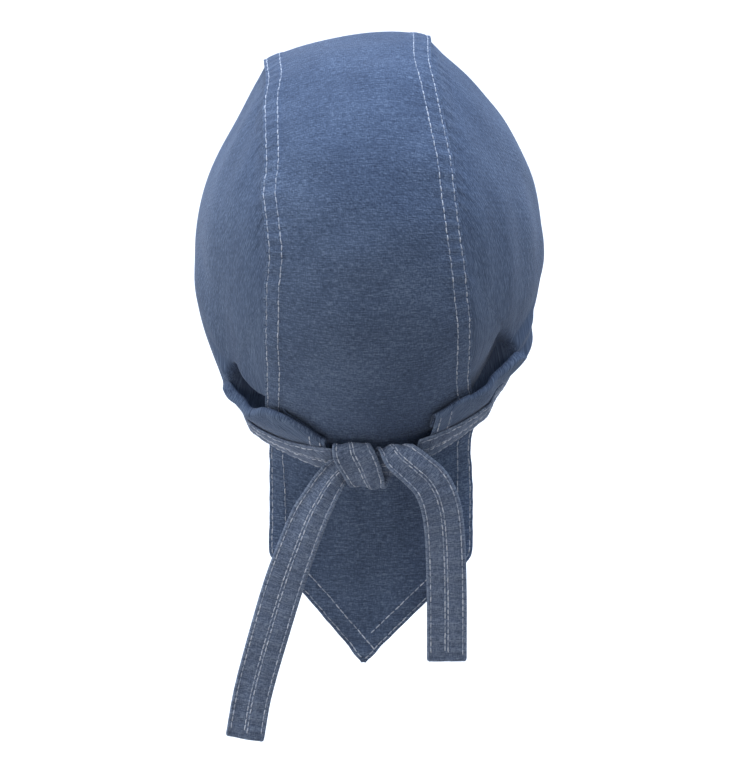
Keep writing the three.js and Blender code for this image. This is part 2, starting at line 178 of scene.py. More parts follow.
SEAM_START = 16  # the angles of the seams' ends
SEAM_END = 219
PANEL_FRONT = 19  # the azimuths of the same rows at the rim
SEAM_AZIMUTH = 140
CORNER = {"left": 164, "right": 158}  # and of the last row, the free hem
SEAM_LAP = 7  # how far a side panel goes on under the centre panel
FREE_LAP = 3  # the same at the seam's lower end
LAP_ENDS = (0.86, 1.0)  # the share of the seam over which the lap changes
FREE_START = 2  # how far below the fold the free rows start
FREE_REACH = 5  # how far past the start of its row a fold may come
FREE_CLIMB = (0.05, 0.3)  # the share of the free edge over which it comes out on the centre panel
CROSSES_EDGE = (0.82, 0.9)  # the share of the seam over which the pleat's fold comes over its edge
CLIMB_START = 3.5  # past the centre panel's edge, where cloth comes down from it
CLIMB_END = 9
BAND_RISE = (116, 124)  # the azimuths over which the band comes up to that cloth

BILLOW = {"left": 3, "right": 1.5}  # the cloth's swell over the band, beside the ears
BILLOW_AZIMUTH = (112, 14)
BILLOW_HEIGHTS = (10, 22, 42, 75)
POCKETS = {
    "left": {"sink": 14, "middle": 124, "reach": 13, "low": 6, "high": 13.5},
    "right": {"sink": 6.5, "middle": 125, "reach": 14, "low": 7, "high": 38},
}
POCKET_EDGE = 8  # from the seam to where a pocket sinks in full

PLEAT_START = 0.1  # the least share of a row above a fold, with a pleat and without one
FLAT_START = 0.3
PLEAT_OPENS = 2  # the depth from which a pleat lies as its table says
PLEAT_REACH = 3.5  # without a pleat, its columns lie this many spacings beside the fold
FLAT_BACK = 0.5  # and those of its back lie this many
FLAT_SPACING = 2
FLAT_SHARE = 0.06  # the widest spacing as a share of the row
TURN_SWELL = 0.25  # how far a fold's turn bulges, as a share of the stand
STRIP_WIDTH = 18
STANDS_FROM = STRIP_WIDTH - 2  # the height from which a pleat's stand changes
FULL_AT = 0.7  # the share of the way from the band to the fold where a pleat stands out in full

SECTIONS = table("angle radius full_left full_right seam_left seam_right ridge_left ridge_right", [
    [-90, 95, 2, 2, 34, -34, 0, 0],
    [0, 95, 2, 2, 35, -31, 1.5, 1.5],
    [35, 95.5, 2, 2, 40.2, -27.5, 4, 4],
    [75, 92.7, 1.87, 2, 43.2, -25.4, 9.2, 7.6],
    [100, 92.4, 1.87, 2, 43.4, -26.8, 7.2, 6.8],
    [125, 95.3, 1.9, 1.92, 45.2, -31.2, 3.5, 4],
    [153, 98, 2, 2, 46, -37.8, 1.5, 1.5],
    [180, 97.5, 2.05, 2.05, 45.6, -42.8, 1, 1],
    [196, 97, 2.1, 2.05, 46.3, -44.6, 0.5, 0.5],
    [210, 97.5, 2.1, 1.93, 46.3, -44.8, 0, 0],
    [220, 99, 2.07, 1.88, 46.2, -45.4, 0, 0],
    [232, 103, 2, 1.83, 46.3, -46.2, 0, 0],
    [245, 107, 1.93, 1.83, 46.5, -46.5, 0, 0],
    [270, 110, 1.93, 1.9, 46.5, -46.5, 0, 0],
])

# The centre panel's folded edges as they were sewn, a little less straight than the form under them.
SEWN_EDGES = table("angle left right", [
    [0, 35, -31],
    [35, 40.5, -27.8],
    [60, 42.4, -26],
    [75, 43.2, -25.2],
    [90, 43.5, -25.4],
    [106, 43.3, -25.8],
    [117, 45.2, -28.4],
    [127, 45.3, -31.1],
    [141, 45.7, -34.9],
    [150, 46.6, -36.9],
    [162, 45.2, -39.4],
    [169, 44.3, -41],
    [180, 45.8, -42.8],
    [196, 46.4, -44.7],
    [211, 46.3, -44.6],
    [222, 46.3, -45.6],
    [234, 46.5, -46.4],
    [245, 46.6, -46.6],
])

RIM = table("azimuth left right", [
    [0, 12, 12],
    [20, 11, 11],
    [45, 4, 4],
    [70, -9, -8],
    [90, -24, -22],
    [110, -38.8, -35.5],
    [130, -52, -47.3],
    [145, -55.5, -51.4],
    [165, -56, -54.3],
    [180, -56, -55],
])

PLEAT_COLUMNS = "azimuth edge depth stand band_stand tuck"
PLEATS = {
    "left": table(PLEAT_COLUMNS, [
        [0, 30, 0, 0, 0, 0],
        [40, 30, 0, 0, -1, 0],
        [75, 27, 0, 0, -4, 0],
        [98, 23, 0, 0, -4, 0],
        [110, 19.5, 0, 0, -2.6, 0.5],
        [114, 18.6, 1, 0.8, -1.4, 0.8],
        [118, 18.8, 5, 2.8, 0.8, 1],
        [122, 20.8, 8, 6, 3, 1.2],
        [126, 24.6, 9, 8.4, 4.8, 1.6],
        [130, 29.8, 9, 9, 5, 2.5],
        [138, 31, 9, 8.4, 4.8, 3.4],
        [148, 30, 9, 6.5, 4.4, 3.2],
        [156, 25.2, 8, 5, 4, 2],
        [164, 18.5, 6, 3.8, 3.8, 1],
        [180, 18.5, 6, 3.8, 3.8, 0],
    ]),
    "right": table(PLEAT_COLUMNS, [
        [0, 30, 0, 0, 0, 0],
        [40, 30, 0, 0, -1, 0],
        [75, 27, 0, 0, -4, 0],
        [98, 24, 0, 0, -4, 0],
        [104, 24.5, 0, 0, -3.4, 0.3],
        [109, 24, 0.5, 0.5, -2, 1],
        [113, 24.5, 4, 5, 0.4, 1],
        [118, 25, 8, 7.5, 2.6, 1.2],
        [126, 27, 9, 7.4, 3.8, 2],
        [136, 27.8, 9, 6, 4.2, 3],
        [146, 28, 9, 4.8, 4.2, 2.6],
        [158, 25.8, 7, 3.8, 3.8, 1],
        [180, 25.8, 7, 3.8, 3.8, 0],
    ]),
}

TAIL = table("z y left right bow lift", [
    [-190, 58, 46.5, -46.5, 22, 5],
    [-197, 56, 46.5, -47, 19, 4],
    [-206, 56.5, 46.5, -47.5, 15, 2.5],
    [-219, 58.5, 46.5, -47.5, 11, 1],
    [-234, 60, 46.5, -47, 8.5, 0],
    [-238, 60.5, 43, -44, 7, 0],
    [-259, 61.5, 24, -22, 2.5, 0],
    [-283.2, 62, 3.5, 2.7, 0.1, 0],
])


def direction_of(angle, side):
    """A direction from the middle of the head: the angle goes over the head in the middle plane, and the
    side, in radians, leans from that plane towards the left ear."""
    a = np.radians(angle)
    level = np.cos(side)
    return np.stack([np.sin(side) + 0 * a, -level * np.cos(a), level * np.sin(a)], -1)


def angles_of(direction):
    """The angle and the side of a direction."""
    angle = np.degrees(np.arctan2(direction[..., 2], -direction[..., 1]))
    angle = np.where(angle < SECTIONS["angle"][0], angle + 360, angle)
    return angle, np.arcsin(np.clip(direction[..., 0], -1, 1))


def round_radius(angle, side):
    """The round form of the head, a superellipse in each section: the powers of the distance across
    and of the distance in the middle plane, each as a share of its half axis, add up to 1."""
    full_left = along(SECTIONS, "full_left", angle)
    full = np.where(side > 0, full_left, along(SECTIONS, "full_right", angle))
    half = np.where(side > 0, HALF_WIDTH_LEFT, HALF_WIDTH_RIGHT)
    across = np.abs(np.sin(side)) / half
    in_plane = np.abs(np.cos(side)) / along(SECTIONS, "radius", angle)
    return (in_plane**full + across**full) ** (-1 / full)


def side_at(angle, x):
    """The side at which a section reaches a given X, closer with each pass."""
    side = 0 * (angle + x)
    for _ in range(SIDE_PASSES):
        side = np.arcsin(np.clip(x / round_radius(angle, side), -1, 1))
    return side


def crown_radius(angle, side):
    """The inner face of the cloth: the round form, raised along both seams, where the rise dies out
    abruptly over the side panel and slowly towards the middle."""
    around = round_radius(angle, side)

    def rise(past, ridge):
        outside = ridge * np.exp(-((np.maximum(past, 0) / SEAM_FADE) ** SEAM_FADE_POWER))
        return np.where(past > 0, outside, ridge * np.maximum(1 + past / SEAM_HOLLOW, 0))

    left_at = side_at(angle, along(SECTIONS, "seam_left", angle))
    right_at = side_at(angle, along(SECTIONS, "seam_right", angle))
    left = rise((side - left_at) * around, along(SECTIONS, "ridge_left", angle))
    right = rise((right_at - side) * around, along(SECTIONS, "ridge_right", angle))
    return around + np.hypot(left, right)


def on_head(direction, lift):
    """The point of the cloth in a direction, lifted off the inner face."""
    radius = crown_radius(*angles_of(direction)) + lift
    return direction * radius[..., None] + CENTRE


def rim_direction(side_name, azimuth, height):
    """The direction of a place a given height above the rim, at an azimuth from the forehead."""
    sign = 1 if side_name == "left" else -1
    rise = np.radians(along(RIM, side_name, azimuth)) + height / CROWN_HEIGHT
    turn = np.radians(azimuth)
    level = np.cos(rise)
    return np.stack([sign * np.sin(turn) * level, -np.cos(turn) * level, np.sin(rise)], -1)


def panel_lift(direction, corner):
    """How far the middle of a side panel's cloth lies off the inner face. Where corner is 1, it lies on
    the centre panel, and comes down to the side past that panel's edge."""
    angle, side = angles_of(direction)
    left_edge = along(SECTIONS, "seam_left", angle)
    right_edge = -along(SECTIONS, "seam_right", angle)
    edge = np.where(direction[..., 0] > 0, left_edge, right_edge)
    x = np.abs(direction[..., 0]) * round_radius(angle, side)
    climb = corner * (1 - smoothstep(x, edge + CLIMB_START, edge + CLIMB_END))
    return lerp(SIDE_LIFT, OVER_CENTRE, climb)


def rim_place(side_name, direction):
    """A direction's azimuth from the forehead, and its height above the rim along the head."""
    azimuth = np.degrees(np.arctan2(np.abs(direction[..., 0]), -direction[..., 1]))
    rise = np.arcsin(direction[..., 2]) - np.radians(along(RIM, side_name, azimuth))
    return azimuth, rise * CROWN_HEIGHT


def billow(side_name, azimuth, height):
    """How far the cloth swells out over the band: a bell round the head, up and down again in height."""
    low, full, fading, gone = BILLOW_HEIGHTS
    level = smoothstep(height, low, full) * (1 - smoothstep(height, fading, gone))
    return BILLOW[side_name] * bump(azimuth, *BILLOW_AZIMUTH) * level


def pleat_lift(side_name, azimuth, height):
    """How far the pleat's outer layer stands off the panel: from the band's stand up to the fold's,
    drawn in again towards the rim."""
    pleat = PLEATS[side_name]
    tuck = along(pleat, "tuck", azimuth) * np.maximum(1 - height / STRIP_WIDTH, 0)
    at_fold = np.maximum(along(pleat, "stand", azimuth), 0)
    full = lerp(STRIP_WIDTH, along(pleat, "edge", azimuth), FULL_AT)
    up = smoothstep(height, STANDS_FROM, full)
    return lerp(along(pleat, "band_stand", azimuth), at_fold, up) - tuck


# Cloth: a closed wall round a grid of points, and the lines of stitches on it

def add_mesh(name, points, faces, material, wear, uv=None):
    """A smooth mesh from points in millimetres and one or more arrays of faces, linked to the scene,
    riding on the root. Its materials read the wear, a number from 0 to 1 at each point."""
    mesh = bpy.data.meshes.new(name)
    mesh.from_pydata((points * MM).tolist(), [], sum((part.tolist() for part in faces), []))
    mesh.shade_smooth()
    if uv is not None:
        corners = np.concatenate([part.ravel() for part in faces])
        layer = mesh.uv_layers.new(name="cloth")
        layer.data.foreach_set("uv", uv[corners].ravel())
    mesh.attributes.new("wear", "FLOAT", "POINT").data.foreach_set("value", wear)
    mesh.materials.append(material)
    piece = bpy.data.objects.new(name, mesh)
    bpy.context.scene.collection.objects.link(piece)
    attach(piece, "root")
    return piece


def border(rows, columns):
    """The rows and the columns of a grid's border, once round."""
    down = np.arange(rows)
    over = np.arange(columns)
    i = np.concatenate([0 * over, down[1:], 0 * over[1:] + rows - 1, down[-2:0:-1]])
    j = np.concatenate([over, 0 * down[1:] + columns - 1, over[-2::-1], 0 * down[-2:0:-1]])
    return i, j


def grid_faces(rows, columns):
    """The four corners of each cell of a grid, as numbers of its points."""
    at = np.arange(rows * columns).reshape(rows, columns)
    return np.stack([at[:-1, :-1], at[1:, :-1], at[1:, 1:], at[:-1, 1:]], -1).reshape(-1, 4)


def grid_normals(grid, outward=1):
    """Unit normals: the cross product of the steps down and across the grid, turned by outward."""
    down, over = np.gradient(grid, axis=0), np.gradient(grid, axis=1)
    return unit(np.cross(down, over)) * outward


def facing(grid, away):
    """1 where a grid's normals look the way of away on the whole, otherwise -1."""
    return 1 if np.mean((grid_normals(grid) * away).sum(-1)) > 0 else -1


def run(grid, axis):
    """The distance along a grid's rows or columns, from its first point."""
    steps = np.linalg.norm(np.diff(grid, axis=axis), axis=-1)
    return np.concatenate([0 * np.take(steps, [0], axis), np.cumsum(steps, axis)], axis)


def closed_cloth(name, grid, outward, material, thick, rise, wear, uv):
    """A closed wall round a grid of middle points: the inner face half the thickness behind it, the
    outer face half the thickness and the rise in front of it, and a rounded rim between them.
    Returns the piece and its outer face's points and normals."""
    rows, columns = grid.shape[:2]
    normals = grid_normals(grid, outward)
    outer = grid + normals * (thick / 2 + rise)[..., None]
    inner = grid - normals * (thick / 2)[..., None]
    i, j = border(rows, columns)
    inward = grid[np.clip(i, 1, rows - 2), np.clip(j, 1, columns - 2)]
    middle = (outer[i, j] + inner[i, j]) / 2
    rim = middle + unit(grid[i, j] - inward) * (thick[i, j] / 2)[:, None]
    count = rows * columns
    faces = grid_faces(rows, columns)
    front = i * columns + j
    front_next = np.roll(front, -1)
    edge = 2 * count + np.arange(len(i))
    edge_next = np.roll(edge, -1)
    faces = np.concatenate([
        faces,
        faces[:, ::-1] + count,
        np.stack([front, front_next, edge_next, edge], -1),
        np.stack([edge, edge_next, front_next + count, front + count], -1),
    ])
    if outward < 0:
        faces = faces[:, ::-1]
    points = np.concatenate([outer.reshape(-1, 3), inner.reshape(-1, 3), rim])
    flat_uv = uv.reshape(-1, 2)
    flat_wear = np.clip(wear, 0, 1).ravel()
    all_uv = np.concatenate([flat_uv, flat_uv, flat_uv[front]])
    all_wear = np.concatenate([flat_wear, 0 * flat_wear, flat_wear[front]])
    piece = add_mesh(name, points, [faces], material, all_wear, all_uv)
    return piece, (outer, grid_normals(outer, outward))


def sample(field, row, column):
    """A grid's values between its points, by the four nearest."""
    i = np.clip(np.floor(row).astype(int), 0, field.shape[0] - 2)
    j = np.clip(np.floor(column).astype(int), 0, field.shape[1] - 2)
    s, t = (row - i)[:, None], (column - j)[:, None]
    top = lerp(field[i, j], field[i, j + 1], t)
    return lerp(top, lerp(field[i + 1, j], field[i + 1, j + 1], t), s)


def place_at(distance, offset):
    """For each row of a grid of rising distances, the place between its columns at an offset."""
    offset = np.broadcast_to(offset, distance.shape[:1])
    column = np.clip((distance < offset[:, None]).sum(1) - 1, 0, distance.shape[1] - 2)
    row = np.arange(len(distance))
    low, high = distance[row, column], distance[row, column + 1]
    return column + np.clip((offset - low) / np.maximum(high - low, TINY), 0, 1)


STITCH_PITCH = 3.2
STITCH_LENGTH = 3.0
THREAD = 0.3  # the thread's half thickness, drawn a little thicker than it is, to show at this size
STITCH_RINGS = np.array([-1, -0.62, 0, 0.62, 1])
STITCH_GIRTH = np.array([0.5, 0.9, 1, 0.9, 0.5])
STITCH_SINK = np.array([-0.5, 0.05, 0.35, 0.05, -0.5])
STITCH_SIDES = 5
STITCH_STRAY = 0.15  # how far a stitch's middle strays along its row
STITCH_LENGTHS = (0.9, 1.08)  # shares of the length
STITCH_LEAN = 0.06  # how far a stitch turns off its row


def stitch_row(surface, row, column):
    """The threads of one row of stitches, as points: each stitch is a small spindle on the cloth whose
    ends dip into it. The row follows the places given on the cloth's grid."""
    points = sample(surface[0], row, column)
    normals = unit(sample(surface[1], row, column))
    gone = run(points[:, None], 0)[:, 0]
    count = int(gone[-1] / STITCH_PITCH)
    stray = rng.uniform(-STITCH_STRAY, STITCH_STRAY, count)
    middle = (np.arange(count) + 0.5) * STITCH_PITCH + stray
    half = STITCH_LENGTH / 2 * rng.uniform(*STITCH_LENGTHS, count)
    where = middle[:, None] + half[:, None] * STITCH_RINGS

    def at(values):
        return np.stack([np.interp(where, gone, values[:, k]) for k in range(3)], -1)

    centre, up = at(points), unit(at(normals))
    ahead = unit(centre[:, -1] - centre[:, 0])[:, None]
    across = unit(np.cross(np.broadcast_to(ahead, up.shape), up))
    lean = (rng.uniform(-STITCH_LEAN, STITCH_LEAN, count) * half)[:, None] * STITCH_RINGS
    centre = centre + up * (STITCH_SINK * THREAD)[:, None] + across * lean[..., None]
    turn = np.arange(STITCH_SIDES) * math.tau / STITCH_SIDES
    around = across[:, :, None] * np.cos(turn)[:, None] + up[:, :, None] * np.sin(turn)[:, None]
    return centre[:, :, None] + around * (THREAD * STITCH_GIRTH)[:, None, None]


def add_stitches(name, rows):
    """All the stitches of one piece of cloth, as one mesh of closed spindles."""
    points = np.concatenate(rows)
    count, rings, sides = points.shape[:3]
    at = np.arange(count * rings * sides).reshape(count, rings, sides)
    beside = np.roll(at, -1, axis=2)
    walls = np.stack([at[:, :-1], beside[:, :-1], beside[:, 1:], at[:, 1:]], -1).reshape(-1, 4)
    tips = np.concatenate([at[:, 0, ::-1], at[:, -1]])
    shade = np.repeat(rng.uniform(0, 1, count), rings * sides)
    return add_mesh(name, points.reshape(-1, 3), [walls, tips], thread, shade)


# Materials

def linear(code):
    """The linear colour of an sRGB hex value, by the standard's straight part and its power curve."""
    value = np.array([int(code[k:k + 2], 16) for k in (1, 3, 5)]) / 255
    low, high = value / 12.92, ((value + 0.055) / 1.055) ** 2.4
    return (*np.where(value <= 0.04045, low, high), 1.0)


def add_node(tree, kind, inputs=(), **settings):
    """Adds a node with its settings, and sets or links each of its inputs."""
    made = tree.nodes.new(kind)
    for name, value in settings.items():
        setattr(made, name, value)
    for socket, value in dict(inputs).items():
        if isinstance(value, bpy.types.NodeSocket):
            tree.links.new(value, made.inputs[socket])
        else:
            made.inputs[socket].default_value = value
    return made


def new_material(name):
    material = bpy.data.materials.new(name)
    material.use_nodes = True
    material.node_tree.nodes.clear()
    return material, material.node_tree


def add_surface(tree, inputs):
    shader = add_node(tree, "ShaderNodeBsdfPrincipled", inputs)
    add_node(tree, "ShaderNodeOutputMaterial", {"Surface": shader.outputs[0]})


UV_SPAN = 500  # millimetres of cloth in one unit of the UV map
SLUB_LENGTH = 2.5
SLUB_WIDTH = 0.48
THICK_SLUB_LENGTH = 11.0
THICK_SLUB_WIDTH = 0.85
FLECK = 0.9
CLOUD = 42
THREAD_WEIGHTS = {"weft": 1.3, "warp": 0.8, "slub": 0.7, "fleck": 0.55, "cloud": 0.5}
EVEN = 0.5 - sum(THREAD_WEIGHTS.values()) / 2  # keeps the mean of the weighted threads at a half
# Denim has about 25 threads to the centimetre, too fine to show here, so its twill is drawn coarser.
TWILL_PITCH = 1.5
TWILL_WEIGHT = 0.35
WAVE_UNIT = math.tau / 10  # the wave texture's wavelength at scale 1
DULL = 0.94  # the roughness of the darkest threads
PALE_GLOSS = -0.12  # how the palest ones differ from it


def denim(name, shades, worn):
    """Chambray denim: white weft and indigo warp woven in a fine twill. The eye sees a blue heather of
    short pale and dark slubs, more of them across the cloth than along it, faded where seams and folds
    rub, dull, with a pale bloom where the nap catches the light."""
    material, tree = new_material(name)
    cloth = add_node(tree, "ShaderNodeUVMap", uv_map="cloth").outputs["UV"]

    def noise(length, width, detail=2.0, roughness=0.55):
        scale = (UV_SPAN / length, UV_SPAN / width, 1)
        place = add_node(tree, "ShaderNodeMapping", {"Vector": cloth, "Scale": scale}).outputs[0]
        inputs = {"Vector": place, "Scale": 1.0, "Detail": detail, "Roughness": roughness}
        return add_node(tree, "ShaderNodeTexNoise", inputs).outputs["Fac"]

    def add(value, share, base):
        inputs = {0: value, 1: share, 2: base}
        return add_node(tree, "ShaderNodeMath", inputs, operation="MULTIPLY_ADD").outputs[0]

    weights = THREAD_WEIGHTS
    weft = noise(SLUB_LENGTH, SLUB_WIDTH)
    warp = noise(SLUB_WIDTH, SLUB_LENGTH)
    slub = noise(THICK_SLUB_LENGTH, THICK_SLUB_WIDTH)
    fleck = noise(FLECK, FLECK, detail=1.0)
    cloud = noise(CLOUD, CLOUD, detail=3.0)
    threads = add(fleck, weights["fleck"], EVEN)
    threads = add(warp, weights["warp"], threads)
    threads = add(weft, weights["weft"], threads)
    threads = add(slub, weights["slub"], threads)
    heather = add(cloud, weights["cloud"], threads)
    ramp = add_node(tree, "ShaderNodeValToRGB", {"Fac": heather})
    stops = ramp.color_ramp.elements
    stops.new(0.5)
    for stop, shade in zip(stops, shades):
        stop.color = linear(shade)
    rubbed = add_node(tree, "ShaderNodeAttribute", attribute_name="wear").outputs["Fac"]
    fade = add_node(tree, "ShaderNodeMath", {0: rubbed, 1: threads}, operation="MULTIPLY")
    colour = add_node(tree, "ShaderNodeMix", {
        "Factor": fade.outputs[0], "A": ramp.outputs["Color"], "B": linear(worn),
    }, data_type="RGBA")
    twill_scale = (UV_SPAN, UV_SPAN, 1)
    twill_place = add_node(tree, "ShaderNodeMapping", {"Vector": cloth, "Scale": twill_scale})
    twill = add_node(tree, "ShaderNodeTexWave", {
        "Vector": twill_place.outputs[0], "Scale": WAVE_UNIT / (TWILL_PITCH * math.sqrt(2)),
        "Distortion": 1.2, "Detail": 1.0, "Detail Scale": 0.6,
    }, bands_direction="DIAGONAL")
    height = add(twill.outputs["Fac"], TWILL_WEIGHT, threads)
    bump_inputs = {"Height": height, "Strength": 0.55, "Distance": 0.25 * MM}
    relief = add_node(tree, "ShaderNodeBump", bump_inputs)
    rough = add(threads, PALE_GLOSS, DULL)
    add_surface(tree, {
        "Base Color": colour.outputs["Result"], "Roughness": rough, "Normal": relief.outputs[0],
        "Sheen Weight": 0.3, "Sheen Roughness": 0.42, "Sheen Tint": linear("#c8d6ee"),
        "Specular IOR Level": 0.25,
    })
    return material


def cotton_thread(name, dark, pale):
    """Plied cotton topstitching thread, ring spun and undyed: pale blue-white dashes, a little fuzzy,
    each one a slightly different tone, with the twist of its plies."""
    material, tree = new_material(name)
    tone = add_node(tree, "ShaderNodeAttribute", attribute_name="wear").outputs["Fac"]
    colour = add_node(tree, "ShaderNodeMix", {
        "Factor": tone, "A": linear(dark), "B": linear(pale),
    }, data_type="RGBA")
    place = add_node(tree, "ShaderNodeTexCoord").outputs["Object"]
    # The plies turn about every half millimetre.
    twist = add_node(tree, "ShaderNodeTexNoise", {"Vector": place, "Scale": 2 / MM, "Detail": 1.0})
    relief = add_node(tree, "ShaderNodeBump", {
        "Height": twist.outputs["Fac"], "Strength": 0.5, "Distance": 0.1 * MM,
    })
    add_surface(tree, {
        "Base Color": colour.outputs["Result"], "Roughness": 0.7, "Normal": relief.outputs[0],
        "Sheen Weight": 0.2, "Specular IOR Level": 0.3,
    })
    return material


def studio_paper(name, code):
    """Matt studio paper: an even pale sheet without any shine."""
    material, tree = new_material(name)
    add_surface(tree, {
        "Base Color": linear(code), "Roughness": 0.9, "Specular IOR Level": 0.0,
    })
    return material


panel_denim = denim("woven_denim_panels", ("#2d3a52", "#4b5d7b", "#7387a5"), "#8599b6")
strip_denim = denim("folded_denim_strips", ("#3b485f", "#5e6e8a", "#899ab4"), "#9dadc4")
thread = cotton_thread("plied_cotton_thread", "#8b9ab4", "#c9d4e6")


# The centre panel, which goes on as the tail

EDGE_ZONE = 12  # beside each edge, where the columns are close
EDGE_COLUMNS = 28
MIDDLE_COLUMNS = 62
CROWN_ROWS = 70
CENTRE_ROWS = 330
ZONE_SHARE = 0.6  # the zone's widest share of half a row
OUTER_STITCH = 1.5  # from a folded edge to its first row of stitches
INNER_STITCH = 8.2
HEM_FADE = (8.4, 9.8)  # where the cloth folded under an edge ends
HEM_RISE = 0.5
GROOVE_DEPTH = 0.3  # pressed in by a row of stitches
GROOVE_WIDTH = 0.6
PUCKER = 7.6  # from one pucker beside a seam to the next
PUCKER_SHIFT = 2.6  # how far they stray, in radians
RUB_WIDTH = 0.9  # of the rubbed line along a folded edge

CENTRE_PUCKER = 0.24
CENTRE_PUCKER_FADE = (3, 17)
CENTRE_UNEVEN = 0.3
CENTRE_UNEVEN_SIZE = 36
CENTRE_WEAR = {"edge": 0.45, "pucker": 0.22, "hem": 0.12}
POINT_MARGIN = 1  # left at the end of the row across the tail's point
TAIL_FOLD = {"top": -222, "start": 250, "depth": 2.6, "x": -2, "drift": 0.05, "width": 5.5, "reach": 34}


def close_at_edges(half):
    """Places from -1 to 1 across each row, close together in a zone beside both edges."""
    zone = np.minimum(EDGE_ZONE, ZONE_SHARE * half)[:, None] / half[:, None]
    near = np.linspace(0, 1, EDGE_COLUMNS)
    between = np.linspace(0, 1, MIDDLE_COLUMNS)[1:-1]
    left = -1 + zone * near
    middle = lerp(-1 + zone, 1 - zone, between)
    return np.concatenate([left, middle, -left[:, ::-1]], 1)


def puckers(place):
    """Small waves along a seam, drawn up by its stitches at uneven distances."""
    return np.sin(place * math.tau / PUCKER + PUCKER_SHIFT * wander(place, 3 * PUCKER))


def hem_share(off):
    """1 where cloth is folded under a seam or a hem and 0 past it, by the distance from the edge."""
    return 1 - smoothstep(off, *HEM_FADE)


def hem_relief(off):
    """How far a seam or a hem stands out, with a groove along each of its two rows of stitches."""
    grooves = bump(off, OUTER_STITCH, GROOVE_WIDTH) + bump(off, INNER_STITCH, GROOVE_WIDTH)
    return HEM_RISE * hem_share(off) - GROOVE_DEPTH * grooves


def tail_fold(grid, place):
    """A soft fold down the tail: a hollow, deepest just under the knot, that drifts to the wearer's
    right on its way down."""
    fold = TAIL_FOLD
    below = fold["top"] - grid[..., 2]
    hollow = bump(grid[..., 0], fold["x"] - fold["drift"] * below, fold["width"])
    return -fold["depth"] * hollow * bump(below, 0, fold["reach"]) * (place[:, None] > fold["start"])


def centre_grid():
    """The middle of the centre panel's cloth: rows over the crown between the sewn edges, then the rows
    of the tail, whose edges bow forward and lift with the square of the place across, joined by cubics.
    Also how far each row is from the first."""
    angle = np.linspace(FOREHEAD, NAPE, CROWN_ROWS)
    left, right = (along(SEWN_EDGES, name, angle) for name in ("left", "right"))
    half = np.concatenate([(left - right) / 2, (TAIL["left"] - TAIL["right"]) / 2])
    across = close_at_edges(half)
    crown_across, tail_across = across[:CROWN_ROWS], across[CROWN_ROWS:]
    left_side, right_side = side_at(angle, left)[:, None], side_at(angle, right)[:, None]
    droop = (NAPE_DROOP * smoothstep(angle, DROOP_START, NAPE))[:, None]
    side = lerp(right_side, left_side, (crown_across + 1) / 2)
    crown = on_head(direction_of(angle[:, None] + droop * crown_across**2, side), CENTRE_LIFT)
    tail = {name: values[:, None] for name, values in TAIL.items()}
    middle = (tail["left"] + tail["right"]) / 2
    x = middle + (tail["left"] - tail["right"]) / 2 * tail_across
    y = tail["y"] - tail["bow"] * tail_across**2
    z = tail["z"] + tail["lift"] * tail_across**2
    rows = np.concatenate([crown, np.stack([x, y, z], -1)])
    gone = run(rows, 0)[:, rows.shape[1] // 2]
    place = np.linspace(0, gone[-1], CENTRE_ROWS)
    grid = np.moveaxis(smooth_line(gone, np.moveaxis(rows, 0, -1), place), -1, 0)
    return grid, place


def make_centre():
    grid, place = centre_grid()
    from_right = run(grid, 1)
    width = from_right[:, -1:]
    from_left = width - from_right
    down = np.broadcast_to(place[:, None], from_right.shape)
    slant = np.hypot(1, np.gradient(width[:, 0] / 2, place))[:, None]
    rise = 0
    wear = 0
    for edge in (from_left, from_right):
        off = edge / slant
        wave = puckers(place)[:, None] * (1 - smoothstep(off, *CENTRE_PUCKER_FADE))
        rise = rise + hem_relief(off) + CENTRE_PUCKER * wave
        rubbed = CENTRE_WEAR["pucker"] * wave + CENTRE_WEAR["hem"]
        wear = wear + CENTRE_WEAR["edge"] * bump(off, 0, RUB_WIDTH) + rubbed * hem_share(off)
    rise = rise + CENTRE_UNEVEN * ripples(down, from_right, CENTRE_UNEVEN_SIZE) + tail_fold(grid, place)
    uv = np.stack([from_right - width / 2, down], -1) / UV_SPAN
    thick = np.full(rise.shape, CLOTH)
    outward = facing(grid, grid - CENTRE)
    piece, surface = closed_cloth("centre_cloth", grid, outward, panel_denim, thick, rise, wear, uv)
    rows = np.arange(len(place), dtype=float)
    across = run(surface[0], 1)
    back = across[:, -1:] - across
    last = grid.shape[1] - 1
    wide = across[:, -1]
    sewn = []
    # At the tail's point each row ends where it meets its twin, but the inner left one runs on.
    for offset in (OUTER_STITCH, INNER_STITCH):
        far = offset * slant[:, 0]
        keep = far < wide / 2
        sewn.append(stitch_row(surface, rows[keep], place_at(across, far)[keep]))
        if offset == INNER_STITCH:
            keep = far < wide - POINT_MARGIN
        column = last - place_at(back[:, ::-1], far)
        sewn.append(stitch_row(surface, rows[keep], column[keep]))
    return piece, add_stitches("centre_stitches", sewn)


# The side panels, each with its pleat and its free, hemmed rear corner

SEAM_ROWS = 230
CORNER_ROWS = 66
PANEL_COLUMNS = 74  # down the panel, then round the tuck, up the back, round the fold and down again
TUCK_COLUMNS = 5
BACK_COLUMNS = 4
FOLD_COLUMNS = 9
FRONT_COLUMNS = 26

